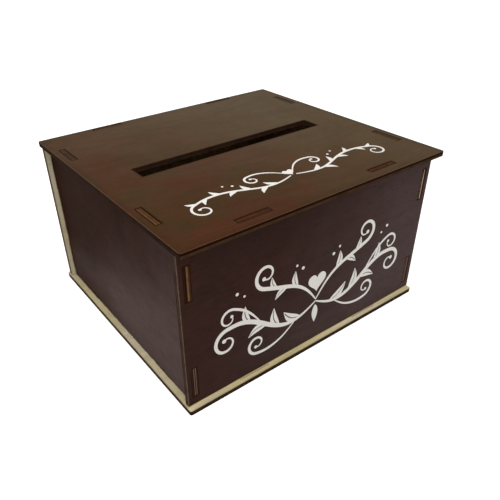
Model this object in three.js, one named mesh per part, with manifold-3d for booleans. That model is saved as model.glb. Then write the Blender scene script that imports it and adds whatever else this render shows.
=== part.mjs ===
// Wedding card box in laser-cut plywood: four walls on a base plate, held by tabs that pass
// through slots, under a lid with a long card slot that lifts off its eight tabs.
// Millimetres, +Z up, front towards -Y. The origin is the middle of the floor outline.
import * as THREE from 'three';
import { mergeVertices } from 'three/addons/utils/BufferGeometryUtils.js';
import Module from 'manifold-3d';

// Driving dimensions: the plywood and the ring of walls.
const plyThickness = 4.5;
const wallsWidth = 265;
const wallsDepth = 246;
const wallHeight = 150;

// The front and back panels run on past the side walls.
const panelEndMargin = 5.5;
const panelCornerRadius = 2;

// The base plate runs on past the side walls and past the front and back panels.
const baseSideMargin = 6.75;
const baseEndMargin = 4.75;
const baseCornerRadius = 2;

// The lid overhangs most at the front, where the fingers lift it.
const lidSideOverhang = 7.5;
const lidFrontOverhang = 10;
const lidBackOverhang = 2;
const lidCornerRadius = 2;
const lidSeatGap = 0.3;

// Tabs and the slots that they pass through.
const tabLength = 30;
const tabClearance = 0.25;
const panelTabSpacing = 139;
const wallTabSpacing = 149;
const lowerEndTabHeight = 25;
const upperEndTabHeight = 121;

// Card slot in the lid, just in front of the middle of the walls.
const cardSlotLength = 200;
const cardSlotWidth = 19.5;
const cardSlotCornerRadius = 1;
const cardSlotForward = 1.5;

// Steps in each rounded corner, and how far every slot's cutter runs past the faces that it cuts.
const cornerSteps = 6;
const cutOverrun = 1;

// Sizes that follow from the ones above.
const panelWidth = wallsWidth + 2 * panelEndMargin;
const wallLength = wallsDepth - 2 * plyThickness;
const baseWidth = wallsWidth + 2 * baseSideMargin;
const baseDepth = wallsDepth + 2 * baseEndMargin;
const lidWidth = wallsWidth + 2 * lidSideOverhang;
const lidDepth = wallsDepth + lidFrontOverhang + lidBackOverhang;
const lidCentreY = (lidBackOverhang - lidFrontOverhang) / 2;
const wallsCentreY = (lidFrontOverhang - baseEndMargin) / 2;
const lidUndersideZ = plyThickness + wallHeight + lidSeatGap;
const sideWallX = (wallsWidth - plyThickness) / 2;
const panelY = (wallsDepth - plyThickness) / 2;

// Tab centres: along the width, along the depth, and up the height from the middle of a wall.
const panelTabCentres = [-panelTabSpacing / 2, panelTabSpacing / 2];
const wallTabCentres = [-wallTabSpacing / 2, wallTabSpacing / 2];
const endTabCentres = [lowerEndTabHeight - wallHeight / 2, upperEndTabHeight - wallHeight / 2];

// The four sides of a plate in drawing order, anticlockwise from the bottom one.
const plateSides = [
  { name: 'bottom', along: new THREE.Vector2(1, 0), out: new THREE.Vector2(0, -1) },
  { name: 'right', along: new THREE.Vector2(0, 1), out: new THREE.Vector2(1, 0) },
  { name: 'top', along: new THREE.Vector2(-1, 0), out: new THREE.Vector2(0, 1) },
  { name: 'left', along: new THREE.Vector2(0, -1), out: new THREE.Vector2(-1, 0) },
];

// The base plate is bare wood, and the dark walnut stain took a little differently on each panel.
const bareColor = 0xb4a882;
const lidColor = 0x4b3629;
const frontColor = 0x32221a;
const backColor = 0x36261c;
const sideColor = 0x382a20;

// Semi-matte wood, bare or stained.
function woodMaterial(color) {
  return new THREE.MeshStandardMaterial({ color, roughness: 0.5, metalness: 0, flatShading: true });
}

const wasm = await Module();
wasm.setup();

// A closed geometry as a solid that can be cut.
function solidFrom(geometry) {
  geometry.deleteAttribute('normal');
  geometry.deleteAttribute('uv');
  const merged = mergeVertices(geometry);
  return new wasm.Manifold(
    new wasm.Mesh({
      numProp: merged.attributes.position.itemSize,
      vertProperties: merged.attributes.position.array,
      triVerts: merged.index.array,
    }),
  );
}

// A cut solid as a geometry again.
function geometryFrom(solid) {
  const { numProp, vertProperties, triVerts } = solid.getMesh();
  const geometry = new THREE.BufferGeometry();
  geometry.setAttribute('position', new THREE.BufferAttribute(vertProperties, numProp));
  geometry.setIndex(new THREE.BufferAttribute(triVerts, 1));
  geometry.computeVertexNormals();
  return geometry;
}

// A rounded corner in a few steps, or one plain point where the radius is zero.
function cornerPoints(centre, radius, startAngle) {
  const steps = radius > 0 ? cornerSteps : 0;
  const points = [];
  for (let step = 0; step <= steps; step += 1) {
    const angle = startAngle + (step / cornerSteps) * (Math.PI / 2);
    const spoke = new THREE.Vector2(Math.cos(angle), Math.sin(angle));
    points.push(centre.clone().addScaledVector(spoke, radius));
  }
  return points;
}

// Outline of a plate centred on the origin, with rounded corners and tabs that stand out from its
// sides. Each side named in tabs gives its tab centres and how far they reach.
function plateOutline(width, height, cornerRadius, tabs = {}) {
  const points = [];
  for (const { name, along, out } of plateSides) {
    const isLevel = along.y === 0;
    const halfSide = (isLevel ? width : height) / 2;
    const edgeDistance = (isLevel ? height : width) / 2;
    const pointAt = (travel, rise) =>
      along.clone().multiplyScalar(travel).addScaledVector(out, edgeDistance + rise);
    const { centres, reach } = tabs[name] ?? { centres: [] };
    const travels = centres.map((centre) => centre * (along.x + along.y)).sort((a, b) => a - b);
    for (const travel of travels) {
      points.push(pointAt(travel - tabLength / 2, 0));
      points.push(pointAt(travel - tabLength / 2, reach));
      points.push(pointAt(travel + tabLength / 2, reach));
      points.push(pointAt(travel + tabLength / 2, 0));
    }
    const cornerCentre = pointAt(halfSide - cornerRadius, -cornerRadius);
    points.push(...cornerPoints(cornerCentre, cornerRadius, out.angle()));
  }
  return points;
}

// Outline of a rectangular slot, with its corners rounded where a radius is given.
function slotOutline(centreX, centreY, width, height, cornerRadius = 0) {
  const shift = new THREE.Vector2(centreX, centreY);
  return plateOutline(width, height, cornerRadius).map((point) => point.add(shift));
}

// The eight slots that take the upright tabs of the four walls, in a base plate or lid whose
// middle lies at plateCentreY from the middle of the walls.
function uprightTabSlots(plateCentreY) {
  const slotLength = tabLength + 2 * tabClearance;
  const slotWidth = plyThickness + 2 * tabClearance;
  const slots = [];
  for (const side of [-1, 1]) {
    for (const centre of panelTabCentres) {
      slots.push(slotOutline(centre, side * panelY - plateCentreY, slotLength, slotWidth));
    }
    for (const centre of wallTabCentres) {
      slots.push(slotOutline(side * sideWallX, centre - plateCentreY, slotWidth, slotLength));
    }
  }
  return slots;
}

// The four slots in a front or back panel that take the end tabs of the side walls.
function endTabSlots() {
  const slotLength = tabLength + 2 * tabClearance;
  const slotWidth = plyThickness + 2 * tabClearance;
  const slots = [];
  for (const side of [-1, 1]) {
    for (const centre of endTabCentres) {
      slots.push(slotOutline(side * sideWallX, centre, slotWidth, slotLength));
    }
  }
  return slots;
}

// The solid between two heights over a flat outline.
function extrudedSolid(outline, bottom, top) {
  const settings = { depth: top - bottom, bevelEnabled: false };
  const geometry = new THREE.ExtrudeGeometry(new THREE.Shape(outline), settings);
  return solidFrom(geometry.translate(0, 0, bottom));
}

// A plate cut from the plywood, lying on its outline's plane and as thick as the sheet.
function plyPlate(name, outline, slots, material) {
  let solid = extrudedSolid(outline, 0, plyThickness);
  for (const slot of slots) {
    solid = solid.subtract(extrudedSolid(slot, -cutOverrun, plyThickness + cutOverrun));
  }
  const plate = new THREE.Mesh(geometryFrom(solid), material);
  plate.name = name;
  return plate;
}

// Top tabs stand flush with the lid's upper face, bottom tabs with the underside of the base.
function uprightTabs(centres) {
  return {
    top: { centres, reach: lidSeatGap + plyThickness },
    bottom: { centres, reach: plyThickness },
  };
}

// The base plate carries the walls and rests flat on the table.
function basePlate() {
  const outline = plateOutline(baseWidth, baseDepth, baseCornerRadius);
  return plyPlate('base_plate', outline, uprightTabSlots(0), woodMaterial(bareColor));
}

// The front and back panels are one outline: they stand across the ends of the side walls.
function endPanel(name, rearFaceY, color) {
  const outline = plateOutline(panelWidth, wallHeight, panelCornerRadius, uprightTabs(panelTabCentres));
  const panel = plyPlate(name, outline, endTabSlots(), woodMaterial(color));
  panel.rotation.x = Math.PI / 2;
  panel.position.set(0, rearFaceY, plyThickness + wallHeight / 2);
  return panel;
}

// The side walls stand between the end panels and pass two tabs through each of them.
function sideWall(name, leftFaceX, color) {
  const endTabs = { centres: endTabCentres, reach: plyThickness };
  const tabs = { ...uprightTabs(wallTabCentres), left: endTabs, right: endTabs };
  const wall = plyPlate(name, plateOutline(wallLength, wallHeight, 0, tabs), [], woodMaterial(color));
  wall.rotation.set(Math.PI / 2, Math.PI / 2, 0);
  wall.position.set(leftFaceX, 0, plyThickness + wallHeight / 2);
  return wall;
}

// The lid drops over the eight top tabs and lifts straight off them.
function lid() {
  const outline = plateOutline(lidWidth, lidDepth, lidCornerRadius);
  const slotY = -cardSlotForward - lidCentreY;
  const cardSlot = slotOutline(0, slotY, cardSlotLength, cardSlotWidth, cardSlotCornerRadius);
  const slots = [...uprightTabSlots(lidCentreY), cardSlot];
  const plate = plyPlate('lid', outline, slots, woodMaterial(lidColor));
  plate.position.set(0, lidCentreY, lidUndersideZ);
  return plate;
}

const cardBox = new THREE.Group();
cardBox.position.y = wallsCentreY;
cardBox.add(basePlate());
cardBox.add(endPanel('front_panel', plyThickness - wallsDepth / 2, frontColor));
cardBox.add(endPanel('back_panel', wallsDepth / 2, backColor));
cardBox.add(sideWall('left_wall', -wallsWidth / 2, sideColor));
cardBox.add(sideWall('right_wall', wallsWidth / 2 - plyThickness, sideColor));
cardBox.add(lid());

export default cardBox;
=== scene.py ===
# %% [markdown]
# # A plywood card box for a wedding
#
# The box is six panels of laser-cut birch plywood. Four walls stand on a base plate and hold
# each other by tabs that pass through slots, and a lid with a long card slot drops over the
# eight tabs that stand up from the walls. The outer faces are stained dark walnut, the inner
# faces are bare, and every cut edge is browned by the laser. White ornaments cut from thin
# film are stuck on the lid and on the front.
#
# The six panels come ready made, at their real size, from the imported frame. This script gives
# them their finish, softens their arrises and adds the film ornaments, the floor, the lamps
# and the camera.

# %% Load the frame
import cmath
import math
from collections import namedtuple

import bmesh
import bpy
from mathutils import Matrix, Vector
from mathutils.geometry import delaunay_2d_cdt


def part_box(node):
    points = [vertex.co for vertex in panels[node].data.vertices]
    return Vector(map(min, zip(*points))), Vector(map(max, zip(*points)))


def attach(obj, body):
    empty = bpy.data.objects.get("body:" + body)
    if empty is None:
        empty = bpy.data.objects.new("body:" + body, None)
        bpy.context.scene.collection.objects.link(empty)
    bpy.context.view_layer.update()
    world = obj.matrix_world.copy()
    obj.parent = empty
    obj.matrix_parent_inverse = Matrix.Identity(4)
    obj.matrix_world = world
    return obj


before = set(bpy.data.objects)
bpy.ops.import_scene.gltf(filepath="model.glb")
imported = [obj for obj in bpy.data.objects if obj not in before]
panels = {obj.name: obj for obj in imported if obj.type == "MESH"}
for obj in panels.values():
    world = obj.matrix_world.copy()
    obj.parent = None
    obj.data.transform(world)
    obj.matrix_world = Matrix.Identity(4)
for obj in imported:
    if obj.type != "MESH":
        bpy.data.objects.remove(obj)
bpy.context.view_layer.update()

MM = 0.001
print("panels:", ", ".join(sorted(panels)))

# %% [markdown]
# ## Camera
#
# The photograph looks down on the front left corner from close by, so its verticals lean
# together. The camera's place, angles and lens were fitted to the box's straight edges. A
# tracking constraint would be simpler, but the picture is also rolled by a degree and a
# little off centre, so the rotation is put together from three named angles, and the small
# shift moves the frame as the photograph's crop did.

# %% Camera
CAMERA_PLACE = Vector((-282.52, -385.33, 343.9)) * MM
CAMERA_AZIMUTH = math.radians(36.194)
CAMERA_ELEVATION = math.radians(33.842)
CAMERA_ROLL = math.radians(1.085)
LENS = 38.526
CROP_SHIFT = (0.0302, 0.0327)


def add_camera():
    turn = Matrix.Rotation(-CAMERA_AZIMUTH, 4, "Z")
    tilt = Matrix.Rotation(math.pi / 2 - CAMERA_ELEVATION, 4, "X")
    roll = Matrix.Rotation(-CAMERA_ROLL, 4, "Z")
    data = bpy.data.cameras.new("camera")
    data.lens = LENS
    data.shift_x, data.shift_y = CROP_SHIFT
    camera = bpy.data.objects.new("camera", data)
    camera.matrix_world = Matrix.Translation(CAMERA_PLACE) @ turn @ tilt @ roll
    bpy.context.collection.objects.link(camera)
    bpy.context.scene.camera = camera
    return camera


camera = add_camera()

# %% [markdown]
# ## A short way to write shader nodes
#
# A material is a tree of nodes. Written out in full, each node takes four or five lines, which
# hides what the material does. `add_node` makes one node, sets its options and fills or links
# its inputs in one call, and `mix_colour` and `calculate` cover the two kinds used most. A
# colour is written as it looks on a screen, and `paint` turns it into the linear numbers that
# the shader works with.
#
# Every noise is described by a `Layer`: its cycles per metre along the grain and across it, its
# detail, roughness and distortion, and a shift that keeps it apart from the other layers of the
# same seed. A noise runs from 0 to 1, but most of it lies between the two `MIDDLE` levels.

# %% Node helpers
X, Y, Z = 0, 1, 2
Layer = namedtuple("Layer", "along across detail roughness distortion shift")
MIDDLE = (0.3, 0.7)


def paint(hex_colour):
    """A screen colour such as "4b3629" as linear red, green, blue and alpha."""
    shares = [int(hex_colour[start:start + 2], 16) / 255 for start in (0, 2, 4)]
    linear = [((s + 0.055) / 1.055) ** 2.4 if s > 0.04045 else s / 12.92 for s in shares]
    return (*linear, 1.0)


def add_node(tree, kind, inputs=None, **options):
    """One node of a tree. Inputs are given by name or number, as a value or as a socket to link."""
    node = tree.nodes.new(kind)
    for option, value in options.items():
        setattr(node, option, value)
    for key, value in (inputs or {}).items():
        if isinstance(value, bpy.types.NodeSocket):
            tree.links.new(value, node.inputs[key])
        else:
            node.inputs[key].default_value = value
    return node


def calculate(tree, operation, first, second=0.0, clamp=False):
    """The result of a sum on two numbers or sockets."""
    inputs = {0: first, 1: second}
    return add_node(tree, "ShaderNodeMath", inputs, operation=operation, use_clamp=clamp).outputs[0]


def mix_colour(tree, share, under, over):
    """Two colours mixed by a share from 0, all under, to 1, all over."""
    # The node has hidden inputs of the same names for its other data types, hence the numbers.
    node = add_node(tree, "ShaderNodeMix", data_type="RGBA")
    for socket, value in ((node.inputs[0], share), (node.inputs[6], under), (node.inputs[7], over)):
        if isinstance(value, bpy.types.NodeSocket):
            tree.links.new(value, socket)
        else:
            socket.default_value = value
    return node.outputs[2]


def ramp(tree, value, low, high, at_low=0.0, at_high=1.0):
    """A value read on a smooth ramp: at_low up to low, at_high from high on."""
    inputs = {0: value, 1: low, 2: high, 3: at_low, 4: at_high}
    return add_node(tree, "ShaderNodeMapRange", inputs, interpolation_type="SMOOTHSTEP").outputs[0]


def noise(tree, place, layer, seed=0, grain=X):
    """Smooth noise from 0 to 1, laid along the axis of the grain."""
    stretch = [layer.along if axis == grain else layer.across for axis in (X, Y, Z)]
    shift = seed + layer.shift
    scaled = add_node(tree, "ShaderNodeMapping",
                      {0: place, 1: (shift, -shift, 2 * shift), 3: stretch})
    inputs = {"Vector": scaled.outputs[0], "Scale": 1.0, "Detail": layer.detail,
              "Roughness": layer.roughness, "Distortion": layer.distortion}
    return add_node(tree, "ShaderNodeTexNoise", inputs).outputs[0]


def new_material(name):
    """An empty material with its output node and the place of each point in the frame."""
    material = bpy.data.materials.new(name)
    material.use_nodes = True
    tree = material.node_tree
    tree.nodes.clear()
    output = add_node(tree, "ShaderNodeOutputMaterial")
    place = add_node(tree, "ShaderNodeTexCoord").outputs["Object"]
    return material, tree, output, place


print("node helpers ready")

# %% [markdown]
# ## Floor
#
# The box stands on a plain white table. The floor's own colour is near white, and where the
# camera or a reflection looks at it a little light is added, so that it fills the picture with
# white but still shows the soft shadow under the box.

# %% Floor
FLOOR_SIDE = 8.0
FLOOR_TONES = (paint("e4e3e0"), paint("e9e8e6"))
FLOOR_CLOUDS = Layer(3, 3, 3.0, 0.55, 0.0, 0)
FLOOR_LIFT = 0.6
WHITE = paint("ffffff")


def seen_directly(tree):
    """1 where the camera, a reflection or a view through glass meets the surface, otherwise 0."""
    rays = add_node(tree, "ShaderNodeLightPath").outputs
    seen = calculate(tree, "MAXIMUM", rays["Is Camera Ray"], rays["Is Glossy Ray"])
    return calculate(tree, "MAXIMUM", seen, rays["Is Transmission Ray"])


def floor_material():
    material, tree, output, place = new_material("white_table")
    tint = mix_colour(tree, noise(tree, place, FLOOR_CLOUDS), *FLOOR_TONES)
    matte = add_node(tree, "ShaderNodeBsdfDiffuse", {"Color": tint})
    glow = add_node(tree, "ShaderNodeEmission", {"Color": WHITE, "Strength": FLOOR_LIFT})
    both = add_node(tree, "ShaderNodeAddShader", {0: matte.outputs[0], 1: glow.outputs[0]})
    shown = add_node(tree, "ShaderNodeMixShader",
                     {0: seen_directly(tree), 1: matte.outputs[0], 2: both.outputs[0]})
    tree.links.new(shown.outputs[0], output.inputs["Surface"])
    return material


def add_floor():
    half = FLOOR_SIDE / 2
    corners = [(-half, -half, 0), (half, -half, 0), (half, half, 0), (-half, half, 0)]
    mesh = bpy.data.meshes.new("floor")
    mesh.from_pydata(corners, [], [(0, 1, 2, 3)])
    mesh.materials.append(floor_material())
    floor = bpy.data.objects.new("floor", mesh)
    bpy.context.collection.objects.link(floor)


add_floor()
print("floor is", FLOOR_SIDE, "m wide")

# %% [markdown]
# ## Light
#
# The photograph has soft room light: the lid is the brightest face, the front and the left
# wall get about two thirds of it, and the far side of the lid has a broad sheen. An even pale
# world gives the base level, a wide panel overhead brings up the lid, and a second panel
# behind the box on the right makes the sheen. Large panels keep every shadow soft.

# %% World and lamps
WORLD_LEVEL = 0.55
SKY_COLOUR = paint("fbfcff")
LAMP_AIM = Vector((0, 0, 0.1))


def light_world():
    """An even room that lights at its level and is white where it is looked at."""
    world = bpy.data.worlds.new("room")
    world.use_nodes = True
    tree = world.node_tree
    seen = seen_directly(tree)
    background = tree.nodes["Background"]
    tree.links.new(mix_colour(tree, seen, SKY_COLOUR, WHITE), background.inputs["Color"])
    tree.links.new(ramp(tree, seen, 0.0, 1.0, WORLD_LEVEL, 1.0), background.inputs["Strength"])
    bpy.context.scene.world = world


def add_lamp(name, place, side, watts):
    """A square lamp that shines from its place towards the box, unseen by the camera."""
    data = bpy.data.lights.new(name, "AREA")
    data.size = side
    data.energy = watts
    lamp = bpy.data.objects.new(name, data)
    turn = (LAMP_AIM - Vector(place)).to_track_quat("-Z", "Y")
    lamp.matrix_world = Matrix.Translation(place) @ turn.to_matrix().to_4x4()
    lamp.visible_camera = False
    bpy.context.collection.objects.link(lamp)
    return lamp


light_world()
overhead = add_lamp("overhead_panel", place=(-0.35, -0.5, 1.45), side=1.4, watts=14.0)
# Part of the lid's sheen is painted into its stain as a lighter grey tone; this lamp makes the
# rest.
sheen = add_lamp("sheen_panel", place=(0.9, 1.6, 0.8), side=0.9, watts=3.0)
bpy.context.scene.view_settings.view_transform = "Standard"
print("lamps:", overhead.name, sheen.name)

# %% [markdown]
# ## Where the cuts are
#
# The laser browns the wood next to each cut, so the finish has to know how far a point is from
# the nearest slot. The slots lie where the tabs of the neighbouring panels pass through, and
# those can be measured on the frame: a tab is what stands out past the main body of a wall.
# Measuring keeps the finish in step with the panels if their sizes change.

# %% Measure the tabs
TOUCHING = 0.01 * MM
MICROMETRE_DIGITS = 6


def corner_places(name):
    """The different corner points of a panel, rounded to micrometres."""
    corners = panels[name].data.vertices
    return sorted({tuple(round(c, MICROMETRE_DIGITS) for c in corner.co) for corner in corners})


def tab_spans(name, outward, along):
    """Low and high ends, along one axis, of the tabs that reach a panel's limit on another axis."""
    points = corner_places(name)
    limit = max(point[outward] for point in points)
    ends = sorted({point[along] for point in points if abs(point[outward] - limit) < TOUCHING})
    return list(zip(ends[::2], ends[1::2]))


front_low, front_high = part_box("front_panel")
_, back_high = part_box("back_panel")
left_low, left_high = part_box("left_wall")
base_low, base_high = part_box("base_plate")
lid_low, lid_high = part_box("lid")
PLY = base_high.z - base_low.z
top_front_tabs = tab_spans("front_panel", Z, X)
top_side_tabs = tab_spans("left_wall", Z, Y)
end_tabs = tab_spans("left_wall", Y, Z)
print("plywood", round(PLY / MM, 2), "mm")
print(len(top_front_tabs), "tabs on the front panel, a side wall has", len(top_side_tabs), "on top")

# %% [markdown]
# ## Rectangles for the cuts
#
# Each slot is a tab's rectangle with the joint's clearance round it. The box is the same left
# and right, so only the right half is listed, and the left half is folded onto it later. The
# card slot is measured on the lid: among the corners of the lid's mesh away from its rim, it is
# the gap in the middle.

# %% Slots and outlines
TAB_CLEARANCE = 0.25 * MM
CARD_SLOT_ZONE = 50 * MM


def widened(span):
    """A tab's span with the clearance of its slot."""
    return (span[0] - TAB_CLEARANCE, span[1] + TAB_CLEARANCE)


def shoulder_height():
    """Height of an end panel's body, measured beside its top tabs."""
    beside = [p for p in corner_places("front_panel") if p[X] < top_front_tabs[0][0] - PLY]
    return max(p[Z] for p in beside)


def card_slot_rectangle():
    """Low and high ends of the card slot along X and Y, from the corners in the lid's middle."""
    middle = (front_low.y + back_high.y) / 2
    reach = -left_high.x - PLY
    inner = [p for p in corner_places("lid")
             if abs(p[X]) < reach and abs(p[Y] - middle) < CARD_SLOT_ZONE]
    across, up = [p[X] for p in inner], [p[Y] for p in inner]
    return (min(across), max(across)), (min(up), max(up))


side_slot = widened((-left_high.x, -left_low.x))
front_slot = widened((front_low.y, front_low.y + PLY))
back_slot = widened((back_high.y - PLY, back_high.y))
right_tab = widened(top_front_tabs[-1])
upright_slots = [(right_tab, front_slot), (right_tab, back_slot)]
upright_slots += [(side_slot, widened(span)) for span in top_side_tabs]
end_slots = [(side_slot, widened(span)) for span in end_tabs]
card_slot = card_slot_rectangle()
print("card slot in mm:", [[round(end / MM, 2) for end in span] for span in card_slot])

# %% [markdown]
# ## Distance to a rectangle
#
# A finish that follows an edge could be painted by hand on an image, or read from a baked map.
# Here it is worked out: take the place relative to the rectangle's middle, drop the signs,
# subtract half its size and keep the larger of the two results. That is the distance outside
# the rectangle, and it is negative inside.

# %% Distances in nodes
def rectangle_distance(tree, across, up, rectangle):
    """Distance in metres outside a rectangle given as (low, high) across and (low, high) up."""
    sides = []
    for place, (low, high) in ((across, rectangle[0]), (up, rectangle[1])):
        offset = calculate(tree, "SUBTRACT", place, (low + high) / 2)
        size = calculate(tree, "ABSOLUTE", offset)
        sides.append(calculate(tree, "SUBTRACT", size, (high - low) / 2))
    return calculate(tree, "MAXIMUM", sides[0], sides[1])


def nearest(tree, across, up, rectangles):
    """Distance to the nearest of some rectangles and of their mirror images."""
    folded = calculate(tree, "ABSOLUTE", across)
    distance = rectangle_distance(tree, folded, up, rectangles[0])
    for rectangle in rectangles[1:]:
        other = rectangle_distance(tree, folded, up, rectangle)
        distance = calculate(tree, "MINIMUM", distance, other)
    return distance


def flat_places(tree, place, axes):
    """The two coordinates of a point that lie in a panel's face."""
    parts = add_node(tree, "ShaderNodeSeparateXYZ", {0: place}).outputs
    return parts[axes[0]], parts[axes[1]]


lid_outline = ((lid_low.x, lid_high.x), (lid_low.y, lid_high.y))
base_outline = ((base_low.x, base_high.x), (base_low.y, base_high.y))
end_outline = ((front_low.x, front_high.x), (base_high.z, shoulder_height()))
print("outlines ready for the lid, the base and the end panels")

# %% [markdown]
# ## The look of birch veneer
#
# Birch veneer is peeled from a turning log, so its growth rings come out as wide wavy contours
# with fine streaks and short flecks along the grain. Contours of one stretched noise give that
# figure: the noise is multiplied up and passed through a sine, so that each step of its height
# becomes a line. The streaks are also a relief, so that a low light catches the grain.

# %% Veneer in nodes
HILLS = Layer(2.2, 13, 2.0, 0.45, 0.7, 0)
STREAKS = Layer(14, 430, 4.0, 0.62, 0.2, 3)
DOTS = Layer(120, 1500, 1.0, 0.5, 0.0, 7)
CONTOURS = 70.0
RING_LEVELS = (-0.9, 1.0)
FLECK_LEVELS = (0.6, 0.74)
BUMP_STRENGTH = 0.5


def veneer(tree, place, grain, seed):
    """Figure, streaks and flecks of a veneer, each from 0 to 1."""
    hills = noise(tree, place, HILLS, seed, grain)
    rings = calculate(tree, "SINE", calculate(tree, "MULTIPLY", hills, CONTOURS))
    figure = ramp(tree, rings, *RING_LEVELS)
    streaks = noise(tree, place, STREAKS, seed, grain)
    flecks = ramp(tree, noise(tree, place, DOTS, seed, grain), *FLECK_LEVELS)
    return figure, streaks, flecks


def darken(tree, colour, shares, amounts):
    """A colour that loses part of its light where each of some shares is high."""
    for share, amount in zip(shares, amounts):
        light = calculate(tree, "SUBTRACT", 1.0, calculate(tree, "MULTIPLY", share, amount))
        inputs = {0: colour, 3: light}
        colour = add_node(tree, "ShaderNodeVectorMath", inputs, operation="SCALE").outputs[0]
    return colour


def wander(tree, distance, wobble, amount):
    """A distance whose contours wander by up to an amount."""
    return calculate(tree, "SUBTRACT", distance, calculate(tree, "MULTIPLY", wobble, amount))


def finish_surface(tree, output, colour, roughness, height, relief, gloss):
    """Close a material: colour, roughness, and a relief in metres from a height of 0 to 1."""
    inputs = {"Strength": BUMP_STRENGTH, "Distance": relief, "Height": height}
    bump = add_node(tree, "ShaderNodeBump", inputs)
    inputs = {"Base Color": colour, "Roughness": roughness, "Normal": bump.outputs[0],
              "Specular IOR Level": gloss}
    shader = add_node(tree, "ShaderNodeBsdfPrincipled", inputs)
    tree.links.new(shader.outputs[0], output.inputs["Surface"])


print("veneer nodes ready")

# %% [markdown]
# ## Bare birch
#
# The base plate and all the inner faces were never stained. They are pale and creamy, with
# brown smoke marks where the laser vented beside a cut. Where a stained wall meets them, a
# little stain has crept out from the joint. Inside the box the boards carry a painted shade in
# patches, and the underside of the base a fainter one.
#
# A mark beside a cut is set by three numbers. Its reach is where it starts and ends to fade, its
# share is how much of the wood it hides at most, and its wander is how far its rim strays.

# %% Bare face
PALE = paint("e6d9ba")
CREAM = paint("dccd9e")
SMOKE = paint("8a6a40")
# Colour of the painted shade inside the box.
CREPT = paint("4a3322")
INSIDE_SHADE = paint("94764c")
BARE_CLOUDS = Layer(9, 9, 3.0, 0.5, 0.3, 11)
WAVES = Layer(170, 170, 3.0, 0.6, 0.0, 23)
BARE_DEPTHS = (0.1, 0.14, 0.16)
CREAM_LEVELS = (0.35, 0.65)
SMOKE_REACH, SMOKE_SHARE, SMOKE_WANDER = (-0.6 * MM, 0.8 * MM), 0.7, 1.0 * MM
CREPT_REACH, CREPT_SHARE, CREPT_WANDER = (-0.4 * MM, 0.4 * MM), 0.85, 1.4 * MM
SHADE_LEVELS, SHADE_SHARES = (0.25, 0.75), (0.4, 0.75)
BARE_ROUGHNESS = (0.62, 0.52)
BARE_RELIEF = 0.08 * MM
BARE_GLOSS = 0.15


def bare_wood(name, grain, axes, slots, outline, feet, seed, shading=1.0):
    """Unstained birch with smoke by its cuts. Shading is how dark its patches of painted shade are.
    Feet are the rectangles that the stained walls enclose or stand on: stain creeps out along
    their rim, and the painted shade falls only inside them."""
    material, tree, output, place = new_material(name)
    across, up = flat_places(tree, place, axes)
    figure, streaks, flecks = veneer(tree, place, grain, seed)
    clouds = noise(tree, place, BARE_CLOUDS, seed)
    wobble = noise(tree, place, WAVES, seed)
    colour = mix_colour(tree, ramp(tree, clouds, *CREAM_LEVELS), PALE, CREAM)
    colour = darken(tree, colour, (figure, streaks, flecks), BARE_DEPTHS)
    rim = calculate(tree, "MULTIPLY", rectangle_distance(tree, across, up, outline), -1.0)
    if slots:
        rim = calculate(tree, "MINIMUM", rim, nearest(tree, across, up, slots))
    sooty = wander(tree, rim, wobble, SMOKE_WANDER)
    colour = mix_colour(tree, ramp(tree, sooty, *SMOKE_REACH, SMOKE_SHARE, 0.0), colour, SMOKE)
    # Painted shade inside the box, in patches that follow the clouds.
    lightest, darkest = (share * shading for share in SHADE_SHARES)
    painted_shade = ramp(tree, clouds, *SHADE_LEVELS, lightest, darkest)
    if feet:
        gap = nearest(tree, across, up, feet)
        painted_shade = calculate(tree, "MULTIPLY", painted_shade, ramp(tree, gap, -PLY, 0.0, 1.0, 0.0))
        crept = wander(tree, calculate(tree, "ABSOLUTE", gap), wobble, CREPT_WANDER)
        colour = mix_colour(tree, ramp(tree, crept, *CREPT_REACH, CREPT_SHARE, 0.0), colour, CREPT)
    colour = mix_colour(tree, painted_shade, colour, INSIDE_SHADE)
    roughness = ramp(tree, clouds, *MIDDLE, *BARE_ROUGHNESS)
    finish_surface(tree, output, colour, roughness, streaks, BARE_RELIEF, BARE_GLOSS)
    return material


print("bare birch needs a name, a grain and its cuts")

# %% [markdown]
# ## Dark walnut stain
#
# The stain was wiped on by hand and took unevenly, redder in some places. Greyer and lighter
# places are a painted sheen, a lighter grey tone laid on towards one side of each face and made
# patchy by the stain's random unevenness. The stain is darkest along the charred rim of every
# slot. On the outer arrises of a panel a lighter line shows, partly stain rubbed thin and partly
# a painted highlight, and the lid carries a painted shade along its rim. On the end panels the
# brush stopped a little short of the base, along a wavy line. One function makes the stain of
# every panel from three tones, and a `PaintedSheen` says where the painted sheen gathers: how
# its share grows across and up the face, its share in the middle, and how uneven it is.

# %% Stained face
CHAR = paint("2e1305")
# Pale colour of the outer arrises: partly stain rubbed thin, partly a painted highlight.
WORN_AND_HIGHLIGHT = paint("7d6650")
STAIN_CLOUDS = Layer(9, 9, 3.0, 0.5, 0.5, 11)
PATCHES = Layer(20, 20, 4.0, 0.65, 0.5, 19)
MOTTLES = Layer(90, 90, 3.0, 0.7, 0.3, 31)
RIPPLES = Layer(260, 260, 2.0, 0.6, 0.0, 23)
BRUSH_WAVES = Layer(9, 9, 3.0, 0.6, 0.0, 29)
STAIN_DEPTHS = (0.06, 0.2, 0.3, 0.09)
RED_LEVELS, RED_SHARE = (0.36, 0.62), 0.8
# Where the painted shade along a rim starts and ends.
RIM_SHADE_REACH = (2.0 * MM, 9.0 * MM)
WORN_HIGHLIGHT_REACH, WORN_HIGHLIGHT_CONTRAST = (0.2 * MM, 1.1 * MM), 1.7
CHAR_REACH, CHAR_SHARE, CHAR_WANDER = (0.3 * MM, 1.2 * MM), 0.95, 0.5 * MM
FOOT_REACH, FOOT_SHARE = (-0.3 * MM, 0.3 * MM), 0.9
STAIN_ROUGHNESS = (0.5, 0.4)
STAIN_RELIEF = 0.09 * MM
PaintedSheen = namedtuple("PaintedSheen", "across up middle uneven")


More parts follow.
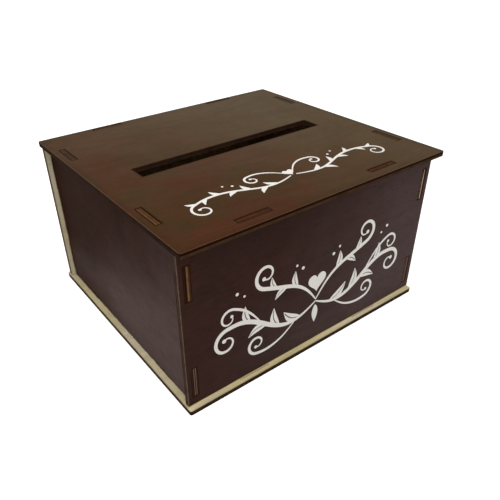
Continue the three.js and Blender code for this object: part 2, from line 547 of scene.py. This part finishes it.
def painted_sheen_share(tree, across, up, outline, painted_sheen, clouds):
    """How much of the painted sheen, a lighter grey tone, lies at each place of a face, from 0 to
    1.
    """
    (left, right), (bottom, top) = outline
    lean = ramp(tree, across, left, right, -painted_sheen.across / 2, painted_sheen.across / 2)
    rise = ramp(tree, up, bottom, top, -painted_sheen.up / 2, painted_sheen.up / 2)
    lowest, highest = painted_sheen.middle - painted_sheen.uneven / 2, painted_sheen.middle + painted_sheen.uneven / 2
    level = ramp(tree, clouds, 0.0, 1.0, lowest, highest)
    drift = calculate(tree, "ADD", calculate(tree, "ADD", lean, rise), level)
    return ramp(tree, drift, 0.0, 1.0)


def stained_wood(name, grain, axes, tones, painted_sheen, slots, outline, seed, gloss,
                 worn_and_lit=0.0, foot=0.0, rim_shade=0.0):
    """Stained veneer in three tones: main, red, and a lighter grey laid on as a painted sheen.
    worn_and_lit is how pale the outer arrises are, partly rubbed stain and partly a painted
    highlight; foot is how high the bare strip below may reach; rim_shade is how dark a painted
    shade along the rim is."""
    material, tree, output, place = new_material(name)
    across, up = flat_places(tree, place, axes)
    figure, streaks, flecks = veneer(tree, place, grain, seed)
    clouds = noise(tree, place, STAIN_CLOUDS, seed)
    patches = ramp(tree, noise(tree, place, PATCHES, seed), *RED_LEVELS, 0.0, RED_SHARE)
    mottles = ramp(tree, noise(tree, place, MOTTLES, seed), *MIDDLE, -0.5, 0.5)
    wobble = noise(tree, place, RIPPLES, seed)
    colour = mix_colour(tree, patches, tones[0], tones[1])
    # Painted sheen: a lighter grey tone laid on towards one side of the face, patchy with the
    # stain's random unevenness.
    grey = painted_sheen_share(tree, across, up, outline, painted_sheen, clouds)
    colour = mix_colour(tree, grey, colour, tones[2])
    colour = darken(tree, colour, (figure, streaks, flecks, mottles), STAIN_DEPTHS)
    rim = calculate(tree, "MULTIPLY", rectangle_distance(tree, across, up, outline), -1.0)
    # Painted shade: the face darkens for a few millimetres inside its rim.
    if rim_shade:
        colour = darken(tree, colour, [ramp(tree, rim, *RIM_SHADE_REACH, 1.0, 0.0)], [rim_shade])
    if worn_and_lit:
        # A lighter line along the outer arrises, partly rubbed stain and partly a painted
        # highlight.
        rubbed_and_lit = calculate(tree, "MULTIPLY", ramp(tree, rim, *WORN_HIGHLIGHT_REACH, worn_and_lit, 0.0), wobble)
        rubbed_and_lit = calculate(tree, "MULTIPLY", rubbed_and_lit, WORN_HIGHLIGHT_CONTRAST, clamp=True)
        colour = mix_colour(tree, rubbed_and_lit, colour, WORN_AND_HIGHLIGHT)
    if slots:
        gap = wander(tree, nearest(tree, across, up, slots), wobble, CHAR_WANDER)
        colour = mix_colour(tree, ramp(tree, gap, *CHAR_REACH, CHAR_SHARE, 0.0), colour, CHAR)
    if foot:
        bottom = outline[1][0]
        waves = calculate(tree, "MULTIPLY", noise(tree, place, BRUSH_WAVES, seed), foot)
        brushed = calculate(tree, "ADD", waves, bottom)
        above = calculate(tree, "SUBTRACT", up, brushed)
        colour = mix_colour(tree, ramp(tree, above, *FOOT_REACH, FOOT_SHARE, 0.0), colour, CREAM)
    roughness = ramp(tree, clouds, *MIDDLE, *STAIN_ROUGHNESS)
    finish_surface(tree, output, colour, roughness, streaks, STAIN_RELIEF, gloss)
    return material


print("stain needs a name, a grain, three tones and a spread")

# %% [markdown]
# ## Edges cut by the laser
#
# A cut edge shows the sheet's three plies. The beam burns the glue lines and the end grain most,
# and leaves fine ridges straight through the thickness. The ply that a point belongs to is read
# from its depth in the sheet, and the ridges are a noise that is slow through the sheet and fast
# along it. Some tab ends took stain where others on the same panel did not, so a `Patch` can give
# a rectangle of an edge other colours for its ground and its glue lines.

# %% Cut edge
RIDGES = Layer(40, 1300, 3.0, 0.6, 0.0, 0)
BURNS = Layer(30, 90, 3.0, 0.6, 0.4, 5)
BURN_LEVELS = (0.4, 0.7)
EDGE_DEPTHS = (0.35, 0.35)
PLY_WAVE, PLY_BLUR = 0.06, 0.05
GLUE_LINES, GLUE_SHARE, GLUE_SPREAD = (0.22, 0.78), 0.8, 0.07
PATCH_REACH, PATCH_SHARE = (0.5 * MM, 2.0 * MM), 0.9
KERF_REACH = (0.3, 0.46)
EDGE_ROUGHNESS = (0.75, 0.6)
EDGE_RELIEF = 0.1 * MM
EDGE_GLOSS = 0.01
Patch = namedtuple("Patch", "axes rectangle ground lines")


def cut_edge(name, through, outer, inner, tones, plies, seed, kerf=0.0, patch=None,
             line=GLUE_SPREAD):
    """Tones are outer veneer, core and inner veneer. Plies are the depth shares of the glue lines,
    and line is how far each glue line spreads. Kerf is how dark both arrises are."""
    material, tree, output, place = new_material(name)
    parts = add_node(tree, "ShaderNodeSeparateXYZ", {0: place}).outputs
    depth = add_node(tree, "ShaderNodeMapRange", {0: parts[through], 1: outer, 2: inner}).outputs[0]
    ridges = noise(tree, place, RIDGES, seed, through)
    burns = noise(tree, place, BURNS, seed, through)
    wavy = calculate(tree, "ADD", depth, calculate(tree, "MULTIPLY", burns, PLY_WAVE))
    joints = [share + PLY_WAVE / 2 for share in plies]
    colour = tones[0]
    for joint, tone in zip(joints, tones[1:]):
        beyond = ramp(tree, wavy, joint - PLY_BLUR, joint + PLY_BLUR)
        colour = mix_colour(tree, beyond, colour, tone)
    glue = CHAR
    if patch:
        across, up = (parts[axis] for axis in patch.axes)
        inside = ramp(tree, nearest(tree, across, up, [patch.rectangle]), *PATCH_REACH, 1.0, 0.0)
        covered = calculate(tree, "MULTIPLY", inside, PATCH_SHARE)
        colour = mix_colour(tree, covered, colour, patch.ground)
        glue = mix_colour(tree, inside, CHAR, patch.lines)
    colour = darken(tree, colour, (ridges, ramp(tree, burns, *BURN_LEVELS)), EDGE_DEPTHS)
    for joint in joints:
        near = calculate(tree, "ABSOLUTE", calculate(tree, "SUBTRACT", wavy, joint))
        colour = mix_colour(tree, ramp(tree, near, line / 3, line, GLUE_SHARE, 0.0), colour, glue)
    if kerf:
        middle = calculate(tree, "ABSOLUTE", calculate(tree, "SUBTRACT", depth, 0.5))
        colour = mix_colour(tree, ramp(tree, middle, *KERF_REACH, 0.0, kerf), colour, CHAR)
    roughness = ramp(tree, ridges, *MIDDLE, *EDGE_ROUGHNESS)
    finish_surface(tree, output, colour, roughness, ridges, EDGE_RELIEF, EDGE_GLOSS)
    return material


print("cut edge ready, glue lines at", GLUE_LINES, "of the thickness")

# %% [markdown]
# ## Sort the faces of a panel
#
# Each panel is one closed solid. Its outer face takes the stain, its inner face stays bare and
# its edges are cut. The finishes could be separate objects, but the panel is one piece of wood,
# so it stays one mesh with several material slots, and each face gets its slot from the
# direction that it looks towards.

# %% Dress and soften
LEFT, RIGHT = Vector((-1, 0, 0)), Vector((1, 0, 0))
FRONT, BACK = Vector((0, -1, 0)), Vector((0, 1, 0))
DOWN, UP = Vector((0, 0, -1)), Vector((0, 0, 1))
ARRIS = 0.3 * MM
ARRIS_STEPS = 2
SHARP = math.radians(40)


def dress(name, finishes):
    """Give each face the finish of its direction. Finishes pair a material with directions."""
    mesh = panels[name].data
    mesh.materials.clear()
    looks = []
    for slot, (material, directions) in enumerate(finishes):
        mesh.materials.append(material)
        looks += [(direction, slot) for direction in directions]
    for face in mesh.polygons:
        face.material_index = max(looks, key=lambda look: face.normal.dot(look[0]))[1]
    slots = [face.material_index for face in mesh.polygons]
    return [slots.count(slot) for slot in range(len(finishes))]


def soften(name):
    """Take the sharpness off every arris, as a light sanding does."""
    # The faces come with corners of their own, so they are welded to one skin first.
    panel = panels[name]
    weld = panel.modifiers.new("one_skin", "WELD")
    weld.merge_threshold = TOUCHING
    arris = panel.modifiers.new("sanded_arris", "BEVEL")
    arris.width = ARRIS
    arris.segments = ARRIS_STEPS
    arris.limit_method = "ANGLE"
    arris.angle_limit = SHARP
    arris.loop_slide = False


print("arrises will be sanded to", ARRIS / MM, "mm")

# %% [markdown]
# ## Base plate
#
# The base is bare on both sides. On its top a little stain from the side walls has crept along
# their joint, and the floor inside the box carries a painted shade, with a fainter one
# underneath. The laser scorched nearly the whole cut edge, and only the topmost veneer is still
# pale. A rectangle that has no end on one side runs to `FAR` there, which is past every panel.

# %% Base plate finish
FAR = 1.0
# The underside gets a fainter painted shade.
UNDERSIDE_SHADING = 0.2
BASE_TONES = (paint("b3a27c"), paint("3b2f1c"), paint("33271a"))
BASE_GLUE_LINES = (0.08, 0.75)
wall_feet = [((-FAR, -left_low.x), (front_low.y + PLY, back_high.y - PLY))]
base_top = bare_wood("bare_base", X, (X, Y), upright_slots, base_outline, wall_feet, seed=2)
base_below = bare_wood("bare_underside", X, (X, Y), upright_slots, base_outline, None,
                       seed=3, shading=UNDERSIDE_SHADING)
base_edge = cut_edge("base_edge", Z, base_high.z, base_low.z, BASE_TONES, BASE_GLUE_LINES, seed=5)
base_finishes = [(base_top, (UP,)), (base_below, (DOWN,)), (base_edge, (LEFT, RIGHT, FRONT, BACK))]
print("base faces:", dress("base_plate", base_finishes))
soften("base_plate")

# %% [markdown]
# ## Front and back panels
#
# These two stand across the ends of the side walls. The front is the darkest face, redder on the
# left and greyer towards the right, where a painted sheen is laid into its colour. Their upright
# rims were wiped with stain too, and their top tab ends show in the lid between two dark kerfs.

# %% Front and back stain
# The third tone of each panel is a painted sheen: on the front it gathers towards the right and the
# bottom, on the back towards the left and the top.
FRONT_TONES = (paint("392621"), paint("3f2822"), paint("524240"))
BACK_TONES = (paint("3b251b"), paint("41271c"), paint("4c3931"))
FRONT_PAINTED_SHEEN = PaintedSheen(across=0.9, up=-0.35, middle=0.4, uneven=0.5)
BACK_PAINTED_SHEEN = PaintedSheen(across=-0.6, up=0.2, middle=0.35, uneven=0.8)
END_GLOSS = 0.012
# How pale the arris line is, partly wear and partly a painted highlight.
END_WEAR_AND_HIGHLIGHT = 0.8
FRONT_FOOT = 2.6 * MM
BACK_FOOT = 2.0 * MM
front_stain = stained_wood("stained_front", X, (X, Z), FRONT_TONES, FRONT_PAINTED_SHEEN, end_slots,
                           end_outline, seed=16, gloss=END_GLOSS, worn_and_lit=END_WEAR_AND_HIGHLIGHT,
                           foot=FRONT_FOOT)
back_stain = stained_wood("stained_back", X, (X, Z), BACK_TONES, BACK_PAINTED_SHEEN, end_slots,
                          end_outline, seed=41, gloss=END_GLOSS, worn_and_lit=END_WEAR_AND_HIGHLIGHT,
                          foot=BACK_FOOT)
side_wall_feet = [((-FAR, -left_low.x), (-FAR, FAR))]
end_bare = bare_wood("bare_end", X, (X, Z), end_slots, end_outline, side_wall_feet, seed=33)
print("end panels have stain outside and bare birch inside")

# %% [markdown]
# ## Cut edges of the end panels
#
# One finish serves the wiped rims, and another the top and bottom edges with the tab ends. Both
# read the plies from the outer face inwards, so the back panel needs its own pair.

# %% Dress the end panels
RIM_TONES = (paint("5f4f48"), paint("4c3c33"), paint("4c3c33"))
TOP_TONES = (paint("54361f"), paint("52341d"), paint("563821"))
TOP_KERF = 0.9
for name, outer, inner, faces, stain in (
        ("front_panel", front_low.y, front_low.y + PLY, (FRONT, BACK), front_stain),
        ("back_panel", back_high.y, back_high.y - PLY, (BACK, FRONT), back_stain)):
    rim = cut_edge(name + "_rim", Y, outer, inner, RIM_TONES, GLUE_LINES, seed=8)
    top = cut_edge(name + "_top", Y, outer, inner, TOP_TONES, GLUE_LINES, seed=9, kerf=TOP_KERF)
    finishes = [(stain, faces[:1]), (end_bare, faces[1:]), (rim, (LEFT, RIGHT)), (top, (UP, DOWN))]
    print(name, "faces:", dress(name, finishes))
    soften(name)

# %% [markdown]
# ## Side walls
#
# The grain of the side walls runs from front to back. Their tab ends show in the end panels as a
# thin pale core between scorched veneers. The lower tabs took so much stain that little more
# than their glue lines shows, as two lighter lines.

# %% Side wall stain
wall_outline = ((left_low.y - PLY, left_high.y + PLY), end_outline[1])
# The third tone is a painted sheen: on the left wall it gathers towards the front and the bottom,
# on the right wall towards the back and the bottom.
WALL_TONES = (paint("331f16"), paint("39221a"), paint("604f4b"))
LEFT_PAINTED_SHEEN = PaintedSheen(across=-0.95, up=-0.95, middle=0.39, uneven=0.45)
RIGHT_PAINTED_SHEEN = PaintedSheen(across=0.5, up=-0.3, middle=0.4, uneven=0.5)
WALL_GLOSS = 0.003
left_stain = stained_wood("stained_left", Y, (Y, Z), WALL_TONES, LEFT_PAINTED_SHEEN, None,
                          wall_outline, seed=24, gloss=WALL_GLOSS)
right_stain = stained_wood("stained_right", Y, (Y, Z), WALL_TONES, RIGHT_PAINTED_SHEEN, None,
                           wall_outline, seed=57, gloss=WALL_GLOSS)
wall_bare = bare_wood("bare_wall", Y, (Y, Z), None, wall_outline, None, seed=63)
print("side walls have stain outside and bare birch inside")

# %% [markdown]
# ## Cut edges of the side walls
#
# The ends of the top tabs lie in the light on the lid. The one at the front left shows a tan
# outer veneer beside a dark glue line, and the others took the lid's stain. The ends in the front
# and back panels are seen against darker wood.

# %% Dress the side walls
LID_END_TONES = (paint("74542f"), paint("694a30"), paint("4a2f1c"))
LEFT_END_TONES = (paint("301a0c"), paint("7e6146"), paint("73431a"))
RIGHT_END_TONES = (paint("3a271b"), paint("dcbda2"), paint("3a271b"))
LEFT_GLUE_LINES = (0.39, 0.78)
RIGHT_GLUE_LINES = (0.33, 0.65)
LID_END_GLUE_LINES = (0.42, 0.88)
LID_END_KERF, LID_END_LINE = 0.2, 0.15
END_KERF, END_LINE = 0.5, 0.06
ABOVE_LOW_TABS = 10 * MM
LID_STAIN, LID_STAIN_LINES = paint("4e3c29"), paint("34241a")
left_back_tab = Patch((X, Y), ((0, FAR), (0, FAR)), LID_STAIN, LID_STAIN_LINES)
right_tabs = Patch((X, Y), ((0, FAR), (-FAR, FAR)), LID_STAIN, LID_STAIN_LINES)
low_tabs = Patch((X, Z), ((0, FAR), (-FAR, end_tabs[0][1] + ABOVE_LOW_TABS)),
                 paint("3c2922"), paint("9a7a6e"))
for name, outer, inner, faces, stain, tones, plies, stained_tabs in (
        ("left_wall", left_low.x, left_high.x, (LEFT, RIGHT), left_stain,
         LEFT_END_TONES, LEFT_GLUE_LINES, left_back_tab),
        ("right_wall", -left_low.x, -left_high.x, (RIGHT, LEFT), right_stain,
         RIGHT_END_TONES, RIGHT_GLUE_LINES, right_tabs)):
    top = cut_edge(name + "_top", X, outer, inner, LID_END_TONES, LID_END_GLUE_LINES, seed=10,
                   kerf=LID_END_KERF, patch=stained_tabs, line=LID_END_LINE)
    end = cut_edge(name + "_end", X, outer, inner, tones, plies, seed=11,
                   kerf=END_KERF, patch=low_tabs, line=END_LINE)
    finishes = [(stain, faces[:1]), (wall_bare, faces[1:]), (top, (UP, DOWN)), (end, (FRONT, BACK))]
    print(name, "faces:", dress(name, finishes))
    soften(name)

# %% [markdown]
# ## Lid
#
# The lid gets the most light and shows the stain's variety best: reddish at the front left,
# lighter and greyer towards the back right, where a painted sheen is laid into its colour. For a
# few millimetres inside its rim it carries a painted shade. Stain has gone deep into its cut
# edges, and on the front one the lowest veneer is still paler. In the card slot the stain has
# run down the cut.

# %% Lid finish
lid_slots = upright_slots + [card_slot]
# The third tone is a painted sheen, which gathers towards the right and the back of the lid.
LID_TONES = (paint("49331d"), paint("522e1c"), paint("5a4934"))
LID_FRONT_EDGE_TONES = (paint("241208"), paint("1e0d05"), paint("4a3424"))
LID_SIDE_EDGE_TONES = (paint("2b190f"), paint("281910"), paint("32221a"))
LID_PAINTED_SHEEN = PaintedSheen(across=0.85, up=0.65, middle=0.56, uneven=0.4)
LID_GLUE_LINES = (0.16, 0.44)
# How pale the lid's arris line is, partly wear and partly a painted highlight.
LID_WEAR_AND_HIGHLIGHT = 0.3
# How dark the painted shade along the lid's rim is.
LID_RIM_SHADE = 0.12
LID_GLOSS = 0.006
lid_stain = stained_wood("stained_lid", X, (X, Y), LID_TONES, LID_PAINTED_SHEEN, lid_slots, lid_outline,
                         seed=129, gloss=LID_GLOSS, worn_and_lit=LID_WEAR_AND_HIGHLIGHT, rim_shade=LID_RIM_SHADE)
lid_bare = bare_wood("bare_lid", X, (X, Y), lid_slots, lid_outline, None, seed=77)
slot_half = ((-FAR, card_slot[0][1]), card_slot[1])
in_card_slot = Patch((X, Y), slot_half, paint("3f2b20"), paint("2c1a10"))
lid_finishes = [(lid_stain, (UP,)), (lid_bare, (DOWN,))]
for name, tones, faces in (("lid_front_edge", LID_FRONT_EDGE_TONES, (FRONT, BACK)),
                           ("lid_side_edge", LID_SIDE_EDGE_TONES, (LEFT, RIGHT))):
    edge = cut_edge(name, Z, lid_high.z, lid_low.z, tones, LID_GLUE_LINES, seed=13,
                    patch=in_card_slot)
    lid_finishes.append((edge, faces))
print("lid faces:", dress("lid", lid_finishes))
soften("lid")

# %% [markdown]
# ## Drawing the ornaments
#
# The ornaments are cut from white film and stuck on: flat shapes with crisp edges, a fifth of a
# millimetre thick. They could be curve objects with a bevel, but a pen stroke that swells and
# thins is easier as points. A flat point is kept as one complex number in millimetres, because
# turning and scaling it is then a plain product. The first helper draws a smooth stem by a few
# knots, and the second carries it on into a curl that tightens.

# %% Stems and curls
CURL_STEP = 8
CURL_SHRINK = 0.34


def turned(degrees):
    """A step of one millimetre in a direction."""
    return cmath.rect(1.0, math.radians(degrees))


def stem_through(knots, steps=10):
    """Points on a cubic B-spline that is drawn by the knots and meets the first and the last."""
    knots = [complex(*knot) for knot in knots]
    ends = [2 * knots[0] - knots[1], *knots, 2 * knots[-1] - knots[-2]]
    points = []
    for a, b, c, d in zip(ends, ends[1:], ends[2:], ends[3:]):
        for t in (step / steps for step in range(steps)):
            shares = (1 - t) ** 3, 3 * t**3 - 6 * t**2 + 4, -3 * t**3 + 3 * t**2 + 3 * t + 1, t**3
            points.append(sum(share * knot for share, knot in zip(shares, (a, b, c, d))) / 6)
    return points + [knots[-1]]


def curled(points, radius, turn, side):
    """A stem carried on into a curl that is a third as wide after each full turn."""
    points = list(points)
    heading = math.degrees(cmath.phase(points[-1] - points[-2]))
    for angle in range(0, turn, CURL_STEP):
        stride = radius * CURL_SHRINK ** (angle / 360) * math.radians(CURL_STEP)
        points.append(points[-1] + stride * turned(heading + side * CURL_STEP / 2))
        heading += side * CURL_STEP
    return points


print("a curl of 10 mm has", len(curled([0j, 1 + 0j], 10, 360, 1)), "points")

# %% [markdown]
# ## Strokes, leaves and berries
#
# A stroke is a chain of quads whose width swells and thins like a pen's. A leaf is a pointed
# oval that bows to one side, and the larger leaves are cut in two halves with a slit for the
# vein. Every shape is listed anticlockwise, and the mirrored half is turned round to stay so.

# %% Ornament shapes
SWELL = 1.4
LEAF_STEPS = 16
LEAF_SHRINK = 0.3
VEIN_START, VEIN_END = 0.1, 0.88
BERRY_STEP = 15
HEART_STEPS = 60


def ways_along(points):
    """The direction of a path at each of its points."""
    spans = [after - before for before, after in zip(points, points[1:])]
    spans = [spans[0]] + [one + two for one, two in zip(spans, spans[1:])] + [spans[-1]]
    return [span / abs(span) for span in spans]


def stroke(points, thin, thick, peak=0.4):
    """A stroke along a path, widest at the share of its length that peak gives."""
    rims = []
    for index, (point, way) in enumerate(zip(points, ways_along(points))):
        share = (index / (len(points) - 1)) ** (math.log(0.5) / math.log(peak))
        half = (thin + (thick - thin) * math.sin(math.pi * share) ** SWELL) / 2
        rims.append((point + 1j * way * half, point - 1j * way * half))
    return [[b, d, c, a] for (a, b), (c, d) in zip(rims, rims[1:])]


def leaf(base, heading, length, width, bow=0.0, slit=0.0):
    """A pointed leaf, whole or in two halves with a slit between them."""
    sides = {1: ([], []), -1: ([], [])}
    way = turned(heading)
    for share in (step / LEAF_STEPS for step in range(LEAF_STEPS + 1)):
        middle = base + way * length * (share + 0.6j * bow * math.sin(math.pi * share))
        half = width / 2 * math.sin(math.pi * share**0.85) ** 0.9
        gap = min(slit / 2, half / 2) if VEIN_START < share < VEIN_END else 0.0
        for side, (outer, inner) in sides.items():
            outer.append(middle + side * 1j * way * half)
            inner.append(middle + side * 1j * way * gap)
    upper, lower = sides[1], sides[-1]
    if not slit:
        return [lower[0] + upper[0][-2:0:-1]]
    return [upper[1] + upper[0][-2:0:-1], lower[0] + lower[1][-2:0:-1]]


def leaves(points, places, length, width, lean, bow, slit=0.0):
    """Leaves on a stem, each at a share of its length and to one side, shorter towards its end."""
    shapes = []
    ways = ways_along(points)
    for number, (share, side) in enumerate(places):
        index = round(share * (len(points) - 1))
        scale = 1 - LEAF_SHRINK * number / len(places)
        heading = math.degrees(cmath.phase(ways[index])) + side * lean
        shapes += leaf(points[index], heading, length * scale, width * scale, -side * bow, slit)
    return shapes


def berry(centre, radius):
    return [[centre + radius * turned(angle) for angle in range(0, 360, BERRY_STEP)]]


def heart(centre, width):
    """A heart by its usual curve, drawn anticlockwise from the notch."""
    outline = []
    for angle in (-math.tau * step / HEART_STEPS for step in range(HEART_STEPS)):
        lobes = 13 * math.cos(angle) - 5 * math.cos(2 * angle)
        up = lobes - 2 * math.cos(3 * angle) - math.cos(4 * angle) + 2.5
        outline.append(centre + complex(16 * math.sin(angle) ** 3, up) * width / 32)
    return [outline]


def mirrored(shapes):
    return shapes + [[complex(-p.real, p.imag) for p in shape][::-1] for shape in shapes]


print("a veined leaf is", len(leaf(0j, 0, 20, 8, 0.2, 1.0)), "shapes")

# %% [markdown]
# ## The spray on the front
#
# The front carries the larger ornament, a symmetrical spray 220 mm wide: a leafy stem that curls
# down at its end, one that rises beside the heart, and thinner tendrils with berries.

# %% Front spray
def front_spray():
    low = stem_through([(0, -16), (16, -25), (34, -27), (52, -18), (68, -5), (84, 2), (97, 1)])
    low = curled(low, 14, 400, -1)
    high = curled(stem_through([(0, -14), (11, 2), (26, 13), (44, 18), (60, 24)]), 13, 390, 1)
    under = curled(stem_through([(24, -26), (38, -38), (56, -43), (67, -41)]), 11, 380, 1)
    tip = curled(stem_through([(62, -10), (70, 2), (80, 13), (90, 18)]), 9.5, 330, -1)
    half = stroke(low, 1.2, 4.4, 0.36) + stroke(high, 1.1, 3.8, 0.38)
    half += stroke(under, 1.0, 2.9) + stroke(tip, 0.9, 2.4)
    half += leaves(low, [(0.1, 1), (0.23, 1), (0.3, -1), (0.4, 1)], 24, 8.4, 50, 0.24, 0.9)
    half += leaves(high, [(0.2, 1), (0.28, -1), (0.36, 1)], 17, 6.2, 50, 0.22, 0.7)
    for stem, radius in ((low, 2.0), (high, 1.9), (under, 1.6), (tip, 1.5)):
        half += berry(stem[-1], radius)
    for centre, radius in ((18 + 27j, 1.6), (25 + 32j, 1.2), (87 + 31j, 1.5), (80 + 26j, 1.1)):
        half += berry(centre, radius)
    return mirrored(half) + heart(4j, 21) + leaf(-20j, -90, 20, 7.0)


front_shapes = front_spray()
print("front spray:", len(front_shapes), "shapes")

# %% [markdown]
# ## The garland on the lid
#
# The lid carries a slimmer garland in front of the card slot, with small leaves on both sides
# of a wavy stem and a little heart in the middle.

# %% Lid garland
def lid_garland():
    stem = stem_through([(3, -4), (18, -9), (34, -8.5), (50, -1), (66, 5), (84, 5), (96, 0)])
    stem = curled(stem, 10.5, 380, -1)
    tendril = curled(stem_through([(5, 3), (14, 13), (26, 17.5), (34, 16)]), 7.5, 360, -1)
    places = [(0.1, 1), (0.17, -1), (0.24, 1), (0.31, -1), (0.38, 1), (0.45, -1), (0.53, 1)]
    half = stroke(stem, 1.1, 2.4, 0.36) + stroke(tendril, 1.0, 2.0)
    half += leaves(stem, places, 13, 4.2, 46, 0.24)
    half += berry(stem[-1], 1.4) + berry(tendril[-1], 1.3)
    half += berry(53 + 10j, 1.2) + berry(60 + 14j, 1.0)
    return mirrored(half) + heart(1.5j, 11)


lid_shapes = lid_garland()
print("lid garland:", len(lid_shapes), "shapes")

# %% [markdown]
# ## Cut the film
#
# The shapes overlap, and a cutter would follow only the outline of them all. A constrained
# Delaunay triangulation joins them, and it tells which shapes each triangle lies in, so that the
# open middle of a curl is left out. The sheet that comes out is extruded to the film's
# thickness, and it sits on the panel with its back on the wood.

# %% Film pieces
FILM_THICKNESS = 0.2 * MM
FILM_TONES = (paint("eae6dd"), paint("e2ded5"))
FILM_CLOUDS = Layer(30, 30, 2.0, 0.55, 0.0, 0)
DIMPLES = Layer(900, 900, 2.0, 0.55, 0.0, 0)
FILM_ROUGHNESS = (0.42, 0.34)
FILM_RELIEF = 0.03 * MM
FILM_GLOSS = 0.35
KEEP_INSIDE = 1
SAME_POINT = 0.0001


def film_material():
    """Matt white film: nearly even, with a faint orange-peel surface."""
    material, tree, output, place = new_material("white_film")
    clouds = noise(tree, place, FILM_CLOUDS)
    dimples = noise(tree, place, DIMPLES)
    colour = mix_colour(tree, clouds, *FILM_TONES)
    roughness = ramp(tree, clouds, *MIDDLE, *FILM_ROUGHNESS)
    finish_surface(tree, output, colour, roughness, dimples, FILM_RELIEF, FILM_GLOSS)
    return material


def cut_film(name, shapes, origin, across, up, body, material):
    """One piece of film from overlapping flat shapes, stuck on at origin."""
    points, outlines = [], []
    for shape in shapes:
        outlines.append(list(range(len(points), len(points) + len(shape))))
        points += [Vector((p.real, p.imag)) for p in shape]
    flat, _, triangles, _, _, owners = delaunay_2d_cdt(
        points, [], outlines, KEEP_INSIDE, SAME_POINT)
    origin, across, up = Vector(origin), Vector(across), Vector(up)
    sheet = bmesh.new()
    corners = [sheet.verts.new(origin + MM * (p.x * across + p.y * up)) for p in flat]
    for triangle, shapes_here in zip(triangles, owners):
        if shapes_here:
            sheet.faces.new([corners[index] for index in triangle])
    loose = [corner for corner in corners if not corner.link_faces]
    bmesh.ops.delete(sheet, geom=loose, context="VERTS")
    front = bmesh.ops.extrude_face_region(sheet, geom=sheet.faces[:])["geom"]
    raised = [part for part in front if isinstance(part, bmesh.types.BMVert)]
    bmesh.ops.translate(sheet, vec=across.cross(up) * FILM_THICKNESS, verts=raised)
    bmesh.ops.recalc_face_normals(sheet, faces=sheet.faces[:])
    mesh = bpy.data.meshes.new(name)
    sheet.to_mesh(mesh)
    sheet.free()
    mesh.materials.append(material)
    piece = bpy.data.objects.new(name, mesh)
    bpy.context.collection.objects.link(piece)
    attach(piece, body)
    return piece


FRONT_SPRAY_HEIGHT = 66 * MM
LID_GARLAND_DEPTH = -80 * MM
film = film_material()
front_film = cut_film("front_spray", front_shapes, (0, front_low.y, FRONT_SPRAY_HEIGHT),
                      (1, 0, 0), (0, 0, 1), "box", film)
lid_film = cut_film("lid_garland", lid_shapes, (0, LID_GARLAND_DEPTH, lid_high.z),
                    (1, 0, 0), (0, 1, 0), "lid", film)
print("film faces:", len(front_film.data.polygons), "and", len(lid_film.data.polygons))
